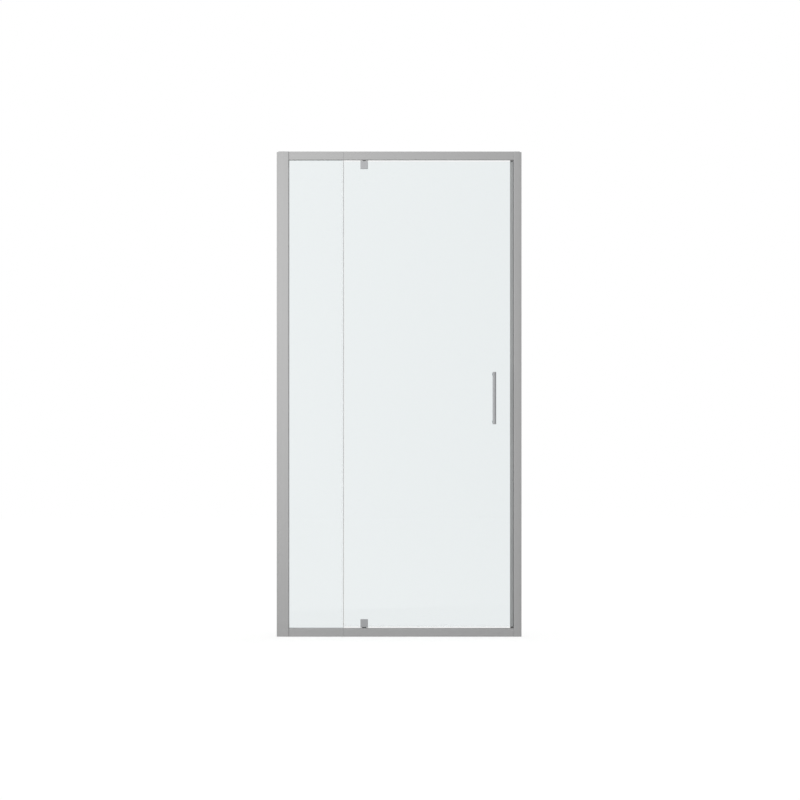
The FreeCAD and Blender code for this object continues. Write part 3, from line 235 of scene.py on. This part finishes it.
# The other finishes are plain solids: two tones, a grain size in mm, metal (1) or not (0),
# a roughness range and a bump.
solids = {
    # grey TPE gasket: dull, with the fine drag marks of extrusion
    "extrudedRubber": {"colour": "#babdbe", "paler": "#c5c8c9", "grain": 1.4, "metal": 0.0,
                       "smoothest": 0.5, "roughest": 0.7, "bump": 0.25},
    # ferrite-loaded rubber of the magnet strips: dense, flat, slightly brown grey
    "ferriteRubber": {"colour": "#8a8988", "paler": "#939291", "grain": 0.8, "metal": 0.0,
                      "smoothest": 0.55, "roughest": 0.75, "bump": 0.2},
    # acetal of the bushes: mid grey, waxy
    "turnedAcetal": {"colour": "#73767a", "paler": "#7e8185", "grain": 3.0, "metal": 0.0,
                     "smoothest": 0.35, "roughest": 0.5, "bump": 0.1},
    # moulded ABS of the end caps, coloured to go with the frame, with a spark-eroded texture
    "mouldedAbs": {"colour": "#aaaaaa", "paler": "#b1b1b1", "grain": 0.7, "metal": 0.0,
                   "smoothest": 0.4, "roughest": 0.55, "bump": 0.3},
    # stainless screws and pins: bright, with fine turning marks
    "turnedStainless": {"colour": "#b3b2af", "paler": "#c2c1be", "grain": 0.5, "metal": 1.0,
                        "smoothest": 0.22, "roughest": 0.36, "bump": 0.15},
    # die-cast zinc, left raw inside the rails: grey, mottled
    "castZinc": {"colour": "#8f9296", "paler": "#a0a3a6", "grain": 2.2, "metal": 1.0,
                 "smoothest": 0.45, "roughest": 0.6, "bump": 0.4},
    # mill-finish aluminium of the joiner bars, coloured nearly black as painted shade so that the
    # seam between the rails reads as a shadow: dull
    "joinerPaintedShade": {"colour": "#2b2c2d", "paler": "#3a3b3c", "grain": 1.5, "metal": 0.0,
                        "smoothest": 0.6, "roughest": 0.8, "bump": 0.2},
}
solidDepth = 0.03  # mm, depth of their grain


def solidFinish(name):
    # one of the finishes above: its grain shifts tone and gloss a little and roughens the surface
    look = solids[name]
    material, tree = emptyMaterial(name)
    place = addNode(tree, "TexCoord").outputs["Object"]
    grain = addNode(tree, "TexNoise", {"Vector": place, "Scale": 1000 / look["grain"],
                                       "Detail": 3.0})
    tone = addNode(tree, "Mix", {0: grain.outputs["Fac"], 6: hexColour(look["colour"]),
                                 7: hexColour(look["paler"])}, data_type="RGBA")
    rough = addNode(tree, "MapRange", {0: grain.outputs["Fac"], 1: noiseLow, 2: noiseHigh,
                                       3: look["smoothest"], 4: look["roughest"]})
    bump = addNode(tree, "Bump", {"Height": grain.outputs["Fac"], "Strength": look["bump"],
                                  "Distance": solidDepth / 1000})
    shader = addNode(tree, "BsdfPrincipled", {
        "Base Color": tone.outputs[2], "Metallic": look["metal"], "Roughness": rough.outputs[0],
        "Normal": bump.outputs[0]})
    addNode(tree, "OutputMaterial", {"Surface": shader.outputs[0]})
    return material


uprightAluminium = anodisedAluminium("anodisedAluminiumUpright", "Z")
levelAluminium = anodisedAluminium("anodisedAluminiumLevel", "X")
uprightChrome = satinChrome("satinChromeUpright", "Z")
postChrome = satinChrome("satinChromePosts", "Y")
clearGlass = toughenedGlass("toughenedGlass")
clearSeal = sealPvc("clearPvc")
softSeal = sealPvc("softPvc")
greySeal = sealPvc("greyPvc")
finishes = {name: solidFinish(name) for name in solids}
print("materials made")

# Which finish each CAD piece has, by the start of its name.
dressing = [
    ("jamb_cap", finishes["mouldedAbs"]),
    ("jamb", uprightAluminium),
    ("wall_channel", uprightAluminium),
    ("strike_strip", uprightAluminium),
    # the joiner bars' nearly black finish is painted shade in the seam between the rails
    ("rail_joiner", finishes["joinerPaintedShade"]),
    ("rail", levelAluminium),
    ("fixed_pane", clearGlass),
    ("door_pane", clearGlass),
    ("handle_bar", uprightChrome),
    ("handle_post", postChrome),
    ("handle_bolts", postChrome),
    ("pivot_block", uprightChrome),
    ("pivot_cover", uprightChrome),
    ("gasket", finishes["extrudedRubber"]),
    ("pivot_pads", finishes["extrudedRubber"]),
    ("pane_seal", clearSeal),
    ("closing_seal", greySeal),
    ("sweep_seal", clearSeal),
    ("handle_sleeves", clearSeal),
    ("handle_washers", clearSeal),
    ("strike_magnet", finishes["ferriteRubber"]),
    ("closing_magnet", finishes["ferriteRubber"]),
    ("pivot_bush", finishes["turnedAcetal"]),
    ("thrust_washer", finishes["turnedAcetal"]),
    ("pivot_insert", finishes["castZinc"]),
    ("", finishes["turnedStainless"]),
]
for nodeName, cadPiece in cadNodes.items():
    finish = next(material for start, material in dressing if nodeName.startswith(start))
    cadPiece.data.materials.clear()
    cadPiece.data.materials.append(finish)
print("CAD pieces dressed")


def nothingSelected():
    if bpy.context.mode != "OBJECT":
        bpy.ops.object.mode_set(mode="OBJECT")
    bpy.ops.object.select_all(action="DESELECT")


def workOn(piece):
    nothingSelected()
    bpy.context.view_layer.objects.active = piece
    piece.select_set(True)


def nothingPicked(kind):
    # nothing of the active mesh is selected, and this kind of element is about to be
    bpy.ops.object.mode_set(mode="EDIT")
    bpy.ops.mesh.select_mode(type=kind)
    bpy.ops.mesh.select_all(action="DESELECT")
    bpy.ops.object.mode_set(mode="OBJECT")


def pickUnderside(piece):
    # edit mode with only those faces selected that look down
    nothingPicked("FACE")
    for face in piece.data.polygons:
        face.select = face.normal.z < -0.9  # within 25 degrees of straight down
    bpy.ops.object.mode_set(mode="EDIT")


def pickEdges(piece, wanted):
    # edit mode with only those edges selected whose two ends are as wanted
    nothingPicked("EDGE")
    points = piece.data.vertices
    for edge in piece.data.edges:
        edge.select = all(wanted(points[end].co) for end in edge.vertices)
    bpy.ops.object.mode_set(mode="EDIT")


def pickPoints(piece, wanted):
    # edit mode with only those points selected that are as wanted
    nothingPicked("VERT")
    for point in piece.data.vertices:
        point.select = wanted(point.co)
    bpy.ops.object.mode_set(mode="EDIT")


def settled(piece):
    # its place, turn and scale go into its mesh
    bpy.ops.object.transform_apply(location=True, rotation=True, scale=True)
    return piece


def cutWith(piece, cutter):
    # a boolean cut, applied, and the cutter thrown away
    workOn(piece)
    cut = piece.modifiers.new("cut", "BOOLEAN")
    cut.operation = "DIFFERENCE"
    cut.object = cutter
    bpy.ops.object.modifier_apply(modifier="cut")
    bpy.data.objects.remove(cutter)


def placedCopy(piece, place, turn):
    # a copy with its own mesh, set at its place
    copy = piece.copy()
    copy.data = piece.data.copy()
    bpy.context.scene.collection.objects.link(copy)
    copy.location = place
    copy.rotation_euler = turn
    workOn(copy)
    return settled(copy)


def joined(pieces):
    workOn(pieces[0])
    for piece in pieces:
        piece.select_set(True)
    bpy.ops.object.join()
    return pieces[0]


def metres(millimetres):
    return {key: given / 1000 for key, given in millimetres.items()}


smoothAngle = 0.6  # radians; edges that turn more stay sharp


def fitted(piece, name, bodyName, nodeName):
    # the finished piece takes its CAD node's place
    workOn(piece)
    settled(piece)
    bpy.ops.object.shade_smooth_by_angle(angle=smoothAngle)
    piece.name = name
    piece.data.name = name
    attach(piece, bodyName)
    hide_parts(nodeName)


# Pan-head screws with a cross recess (mm): radius and height of the head, radius and length of the
# shank, width, length and depth of the recess's two slots.
panScrews = {
    "lock": {"head": 4.2, "height": 2.6, "shank": 2.0, "length": 4.6,
             "narrow": 1.1, "wide": 4.6, "depth": 1.5},
    "joiner": {"head": 3.8, "height": 2.2, "shank": 2.0, "length": 9.0,
               "narrow": 1.0, "wide": 4.2, "depth": 1.3},
    "insert": {"head": 3.4, "height": 1.4, "shank": 2.0, "length": 12.0,
               "narrow": 0.9, "wide": 3.6, "depth": 0.8},
}
screwForm = {
    "sides": 40,
    "dome": 0.62,       # share of the head's height that is rounded
    "domeSteps": 6,
    "point": 0.45,      # length of the point to the shank's radius
    "tip": 0.55,        # width of the point's end to the shank's
    "recessFoot": 0.7,  # width of the recess at its foot to that at its mouth
}


def panScrew(kind):
    # head up along Z, seat of the head at the origin
    size = metres(panScrews[kind])
    top = size["height"]
    nothingSelected()
    bpy.ops.mesh.primitive_cylinder_add(vertices=screwForm["sides"], radius=size["head"], depth=top,
                                        location=(0, 0, top / 2))
    screw = settled(bpy.context.object)
    pickEdges(screw, lambda end: end.z > top - tiny)
    bpy.ops.mesh.bevel(offset=top * screwForm["dome"], segments=screwForm["domeSteps"],
                       affect="EDGES")
    pickUnderside(screw)
    bpy.ops.mesh.inset(thickness=size["head"] - size["shank"])
    point = size["shank"] * screwForm["point"]
    for length in (size["length"] - point, point):
        bpy.ops.mesh.extrude_region_move(TRANSFORM_OT_translate={"value": (0, 0, -length)})
    bpy.ops.transform.resize(value=(screwForm["tip"], screwForm["tip"], 1))
    narrow, wide = size["narrow"], size["wide"]
    for across, along in ((narrow, wide), (wide, narrow)):
        nothingSelected()
        bpy.ops.mesh.primitive_cube_add(size=1, location=(0, 0, top))
        bpy.ops.transform.resize(value=(across, along, size["depth"] * 2))
        slot = settled(bpy.context.object)
        pickUnderside(slot)
        bpy.ops.transform.resize(value=(screwForm["recessFoot"], screwForm["recessFoot"], 1))
        bpy.ops.object.mode_set(mode="OBJECT")
        cutWith(screw, slot)
    screw.data.materials.append(finishes["turnedStainless"])
    return screw


# How many screws a node has, which way their heads point, and the axis that they stand along.
screwNodes = {
    "lock_screws_left": {"kind": "lock", "count": 3, "heads": "+Y", "along": "Z",
                         "body": "left_channel"},
    "lock_screws_right": {"kind": "lock", "count": 3, "heads": "+Y", "along": "Z",
                          "body": "right_channel"},
    "joiner_screws_top": {"kind": "joiner", "count": 2, "heads": "+Y", "along": "X",
                          "body": "frame"},
    "joiner_screws_bottom": {"kind": "joiner", "count": 2, "heads": "+Y", "along": "X",
                             "body": "frame"},
    "insert_screws_top": {"kind": "insert", "count": 2, "heads": "-Z", "along": "X",
                          "body": "frame"},
    "insert_screws_bottom": {"kind": "insert", "count": 2, "heads": "+Z", "along": "X",
                             "body": "frame"},
}
headTurns = {"+Z": (0, 0, 0), "-Z": (pi, 0, 0), "+Y": (-pi / 2, 0, 0)}
patterns = {kind: panScrew(kind) for kind in panScrews}
for nodeName, row in screwNodes.items():
    low, high = [Vector(corner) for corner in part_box(nodeName)]
    size = metres(panScrews[row["kind"]])
    facing = "XYZ".index(row["heads"][1])
    along = "XYZ".index(row["along"])
    seat = (low + high) / 2
    if row["heads"][0] == "+":
        seat[facing] = high[facing] - size["height"]
    else:
        seat[facing] = low[facing] + size["height"]
    first = low[along] + size["head"]
    last = high[along] - size["head"]
    screws = []
    for step in range(row["count"]):
        seat[along] = first + (last - first) * step / (row["count"] - 1)
        screws.append(placedCopy(patterns[row["kind"]], seat, headTurns[row["heads"]]))
    fitted(joined(screws), nodeName + "_crossed", row["body"], nodeName)
for pattern in patterns.values():
    bpy.data.objects.remove(pattern)
print("screws made")

# Domed bolts of the handle, on the inside of the pane.
handleBolt = {
    "mm": {"cap": 8.0, "height": 5.0, "dome": 4.2, "rim": 0.4, "shank": 3.0, "length": 22.0},
    "sides": 64,
    "domeSteps": 12,
}


def domedBolt():
    size = metres(handleBolt["mm"])
    top = size["height"]
    nothingSelected()
    bpy.ops.mesh.primitive_cylinder_add(vertices=handleBolt["sides"], radius=size["cap"], depth=top,
                                        location=(0, 0, top / 2))
    bolt = settled(bpy.context.object)
    pickEdges(bolt, lambda end: end.z > top - tiny)
    bpy.ops.mesh.bevel(offset=size["dome"], segments=handleBolt["domeSteps"], affect="EDGES")
    pickUnderside(bolt)
    bpy.ops.mesh.inset(thickness=size["rim"])
    bpy.ops.mesh.inset(thickness=size["cap"] - size["shank"] - size["rim"])
    bpy.ops.mesh.extrude_region_move(TRANSFORM_OT_translate={"value": (0, 0, -size["length"])})
    bpy.ops.object.mode_set(mode="OBJECT")
    bolt.data.materials.append(postChrome)
    return bolt


low, high = [Vector(corner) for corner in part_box("handle_bolts")]
pattern = domedBolt()
size = metres(handleBolt["mm"])
seat = (low + high) / 2
seat.y = high.y - size["height"]
bolts = []
for height in (low.z + size["cap"], high.z - size["cap"]):
    seat.z = height
    bolts.append(placedCopy(pattern, seat, headTurns["+Y"]))
fitted(joined(bolts), "handle_bolts_domed", "door", "handle_bolts")
bpy.data.objects.remove(pattern)
print("handle bolts made")

# Seal between the panes: a clear clip on the fixed pane, and a frosted bubble on the clip.
paneSeal = {
    "mm": {"leg": 7.0, "web": 1.0, "slot": 6.1, "fit": 0.05, "tipRound": 0.4,
           "bubble": 1.85, "wall": 0.6},
    "tipSteps": 3,
    "sides": 32,      # of the bubble
    "oval": 1.2,      # the bubble's depth to its width
    "slotOver": 1.1,  # the slot's cutter is longer than the clip by this factor
}


def sealBetweenPanes():
    size = metres(paneSeal["mm"])
    low, high = [Vector(corner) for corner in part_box("pane_seal")]
    tall = high.z - low.z
    middle = (low.z + high.z) / 2
    edge = low.x + size["leg"]  # free edge of the fixed pane
    wide = size["leg"] + size["web"]
    nothingSelected()
    bpy.ops.mesh.primitive_cube_add(size=1, location=(low.x + wide / 2, 0, middle))
    bpy.ops.transform.resize(value=(wide, high.y - low.y, tall))
    clip = settled(bpy.context.object)
    nothingSelected()
    bpy.ops.mesh.primitive_cube_add(size=1, location=(edge + size["fit"] - size["leg"], 0, middle))
    bpy.ops.transform.resize(value=(2 * size["leg"], size["slot"], tall * paneSeal["slotOver"]))
    cutWith(clip, settled(bpy.context.object))
    # leg tips and outer corners are rounded, as extruded
    pickEdges(clip, lambda end: abs(abs(end.y) - high.y) < tiny)
    bpy.ops.mesh.bevel(offset=size["tipRound"], segments=paneSeal["tipSteps"], affect="EDGES")
    bpy.ops.object.mode_set(mode="OBJECT")
    clip.data.materials.append(clearSeal)
    nothingSelected()
    bpy.ops.mesh.primitive_cylinder_add(vertices=paneSeal["sides"], radius=size["bubble"],
                                        depth=tall, end_fill_type="NOTHING",
                                        location=(high.x - size["bubble"], 0, middle))
    bpy.ops.transform.resize(value=(1, paneSeal["oval"], 1))
    bubble = settled(bpy.context.object)
    wall = bubble.modifiers.new("wall", "SOLIDIFY")
    wall.thickness = size["wall"]
    wall.offset = -1
    bpy.ops.object.modifier_apply(modifier="wall")
    bubble.data.materials.append(softSeal)
    return joined([clip, bubble])


fitted(sealBetweenPanes(), "pane_seal_bubble", "frame", "pane_seal")
print("seal between the panes made")

# Jambs, caps and rails, with the edges towards the glass rounded more fully than in the CAD (mm).
fullRounds = {"cadRound": 1.5, "jamb": 3.0, "rail": 3.5, "slack": 0.01}
flatAngle = 0.001  # radians; triangles that turn less are one flat face


def fullerRounds(nodeName, kind, corners):
    # a copy of a CAD profile, with its rounds scaled up about the sharp corners that they cut off
    profile = bpy.data.objects.new(nodeName, cadNodes[nodeName].data.copy())
    bpy.context.scene.collection.objects.link(profile)
    workOn(profile)
    bpy.ops.object.mode_set(mode="EDIT")
    bpy.ops.mesh.select_all(action="SELECT")
    bpy.ops.mesh.remove_doubles(threshold=tiny)
    bpy.ops.mesh.dissolve_limited(angle_limit=flatAngle)
    size = metres(fullRounds)
    reach = size["cadRound"] + size["slack"]
    grow = fullRounds[kind] / fullRounds["cadRound"]
    across = (0, 1) if kind == "jamb" else (1, 2)  # axes that the profile doesn't run along
    scale = [grow if axis in across else 1 for axis in range(3)]
    for corner in corners:
        pickPoints(profile, lambda point: all(abs(point[axis] - corner[axis]) < reach
                                              for axis in across))
        bpy.ops.transform.resize(value=scale, center_override=corner)
        bpy.ops.object.mode_set(mode="OBJECT")
    return profile


# Which side of each profile the glass is on.
profiles = {
    "jamb_left": "+X", "jamb_cap_left": "+X",
    "jamb_right": "-X", "jamb_cap_right": "-X",
    "rail_top_fixed": "-Z", "rail_top_door": "-Z",
    "rail_bottom_fixed": "+Z", "rail_bottom_door": "+Z",
}
for nodeName, side in profiles.items():
    low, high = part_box(nodeName)
    facing = "XYZ".index(side[1])
    corners = []
    for depth in (low[1], high[1]):
        corner = [0, depth, 0]
        corner[facing] = high[facing] if side[0] == "+" else low[facing]
        corners.append(corner)
    profile = fullerRounds(nodeName, nodeName.split("_")[0], corners)
    fitted(profile, nodeName + "_rounded", "frame", nodeName)
    # normals follow the large flat faces, so that the rounds don't shade them
    profile.modifiers.new("flat", "WEIGHTED_NORMAL").keep_sharp = True
    bpy.ops.object.modifier_apply(modifier="flat")
print("profiles rounded")

studio = {
    "cameraPlace": (0.0035, -20.019, 0.9513),
    "lens": 223.93,         # mm; the photograph is nearly free of perspective
    "ambient": 0.55,        # world light on dull surfaces
    "frontLevel": 0.65,     # what metal and glass see on the camera's side; the far side is white
    "whiteFrom": 0.2,       # between these two headings towards the back (Y)
    "whiteFull": 0.7,       # the level rises to white
    "keyPlace": (-1.05, -1.4, 1.5),
    "keyAim": (0, 0, 0.95),
    "keySize": 5.2,         # m
    "keyPower": 88.0,       # W, if the whole lamp were as bright as its middle
    "floorColour": "#e9e9e8",
    "floorSize": 40.0,      # m
    "floorGlow": 0.57,
    "floorMirrored": 0.32,  # glow that metal and glass see in the floor in front of the object
    "nearFloor": 2.0,       # m in front of the object, from where on that glow fades
    "farMirrored": 0.2,     # what is left of it at the floor's edge, to meet the front level unseen
    "behindFrom": 0.1,      # between these two distances behind the object (m)
    "behindFull": 1.0,      # the mirrored floor turns white
}

camera = bpy.data.objects.new("camera", bpy.data.cameras.new("camera"))
bpy.context.scene.collection.objects.link(camera)
camera.data.lens = studio["lens"]
camera.location = studio["cameraPlace"]
camera.rotation_euler = (pi / 2, 0, 0)
bpy.context.scene.camera = camera

# The lamp lights the object alone, so that it leaves no bright pool on the floor.
lampLit = bpy.data.collections.new("lampLit")
for piece in bpy.context.scene.objects:
    if piece.type == "MESH":
        lampLit.objects.link(piece)
lamp = bpy.data.objects.new("softBox", bpy.data.lights.new("softBox", "AREA"))
bpy.context.scene.collection.objects.link(lamp)
lamp.data.size = studio["keySize"]
lamp.data.energy = studio["keyPower"]
lamp.location = studio["keyPlace"]
away = Vector(studio["keyPlace"]) - Vector(studio["keyAim"])
lamp.rotation_euler = away.to_track_quat("Z", "Y").to_euler()
lamp.light_linking.receiver_collection = lampLit
lamp.visible_camera = False
lamp.visible_transmission = False

# It fades evenly from its middle to its edges, so that none of them shows in the glass.
lamp.data.use_nodes = True
tree = lamp.data.node_tree
tree.nodes.clear()
onLamp = addNode(tree, "SeparateXYZ", {0: addNode(tree, "NewGeometry").outputs["Parametric"]})
fromMiddle = []
for axis in "XY":
    centred = addNode(tree, "Math", {0: onLamp.outputs[axis], 1: 2.0, 2: -1.0},
                      operation="MULTIPLY_ADD")  # 0 to 1 becomes -1 to 1
    fromMiddle.append(addNode(tree, "Math", {0: centred.outputs[0]}, operation="ABSOLUTE"))
further = addNode(tree, "Math", {0: fromMiddle[0].outputs[0], 1: fromMiddle[1].outputs[0]},
                  operation="MAXIMUM")
fade = addNode(tree, "Math", {0: 1.0, 1: further.outputs[0]}, operation="SUBTRACT")
shine = addNode(tree, "Emission", {"Strength": fade.outputs[0]})
addNode(tree, "OutputLight", {"Surface": shine.outputs[0]})

# White behind the object for what the camera, metal and glass see; a plain level for dull surfaces.
world = bpy.data.worlds.new("studioWorld")
bpy.context.scene.world = world
world.use_nodes = True
sky = world.node_tree
sky.nodes.clear()
skyPath = addNode(sky, "LightPath")
heading = addNode(sky, "SeparateXYZ", {0: addNode(sky, "TexCoord").outputs["Generated"]})
towardsBack = addNode(sky, "MapRange", {0: heading.outputs["Y"], 1: studio["whiteFrom"],
                                        2: studio["whiteFull"], 3: studio["frontLevel"], 4: 1.0})
mirrored = addNode(sky, "Mix", {0: skyPath.outputs["Is Glossy Ray"], 2: studio["ambient"],
                                3: towardsBack.outputs[0]})
seen = addNode(sky, "Math", {0: skyPath.outputs["Is Camera Ray"],
                             1: skyPath.outputs["Is Transmission Ray"]}, operation="MAXIMUM")
level = addNode(sky, "Mix", {0: seen.outputs[0], 2: mirrored.outputs[0], 3: 1.0})
glow = addNode(sky, "Background", {"Color": (1, 1, 1, 1), "Strength": level.outputs[0]})
addNode(sky, "OutputWorld", {"Surface": glow.outputs[0]})

# The floor is dull paint with a glow for the camera, so that it is white but keeps a shadow.
# Through glass, and mirrored behind the object, it is plain white, as the backdrop is.
nothingSelected()
bpy.ops.mesh.primitive_plane_add(size=studio["floorSize"], location=(0, 0, 0))
floor = bpy.context.object
floor.name = "floor"
floorPaint, tree = emptyMaterial("paleFloor")
dull = addNode(tree, "BsdfDiffuse", {"Color": hexColour(studio["floorColour"])})
floorPath = addNode(tree, "LightPath")
spot = addNode(tree, "SeparateXYZ", {0: addNode(tree, "TexCoord").outputs["Object"]})
inFront = addNode(tree, "MapRange", {0: spot.outputs["Y"], 1: -studio["floorSize"] / 2,
                                     2: -studio["nearFloor"], 3: studio["farMirrored"],
                                     4: studio["floorMirrored"]})
sheen = addNode(tree, "Math", {0: floorPath.outputs["Is Glossy Ray"], 1: inFront.outputs[0]},
                operation="MULTIPLY")
lift = addNode(tree, "Math", {0: floorPath.outputs["Is Camera Ray"], 1: studio["floorGlow"],
                              2: sheen.outputs[0]}, operation="MULTIPLY_ADD")
shine = addNode(tree, "Emission", {"Strength": lift.outputs[0]})
lifted = addNode(tree, "AddShader", {0: dull.outputs[0], 1: shine.outputs[0]})
behind = addNode(tree, "MapRange", {0: spot.outputs["Y"], 1: studio["behindFrom"],
                                    2: studio["behindFull"]})
mirroredBehind = addNode(tree, "Math", {0: floorPath.outputs["Is Glossy Ray"],
                                        1: behind.outputs[0]}, operation="MULTIPLY")
plain = addNode(tree, "Math", {0: mirroredBehind.outputs[0],
                               1: floorPath.outputs["Is Transmission Ray"]}, operation="MAXIMUM")
white = addNode(tree, "Emission", {"Strength": 1.0})
shown = addNode(tree, "MixShader", {0: plain.outputs[0], 1: lifted.outputs[0], 2: white.outputs[0]})
addNode(tree, "OutputMaterial", {"Surface": shown.outputs[0]})
floor.data.materials.append(floorPaint)
bpy.context.scene.view_settings.view_transform = "Standard"
print("studio set")
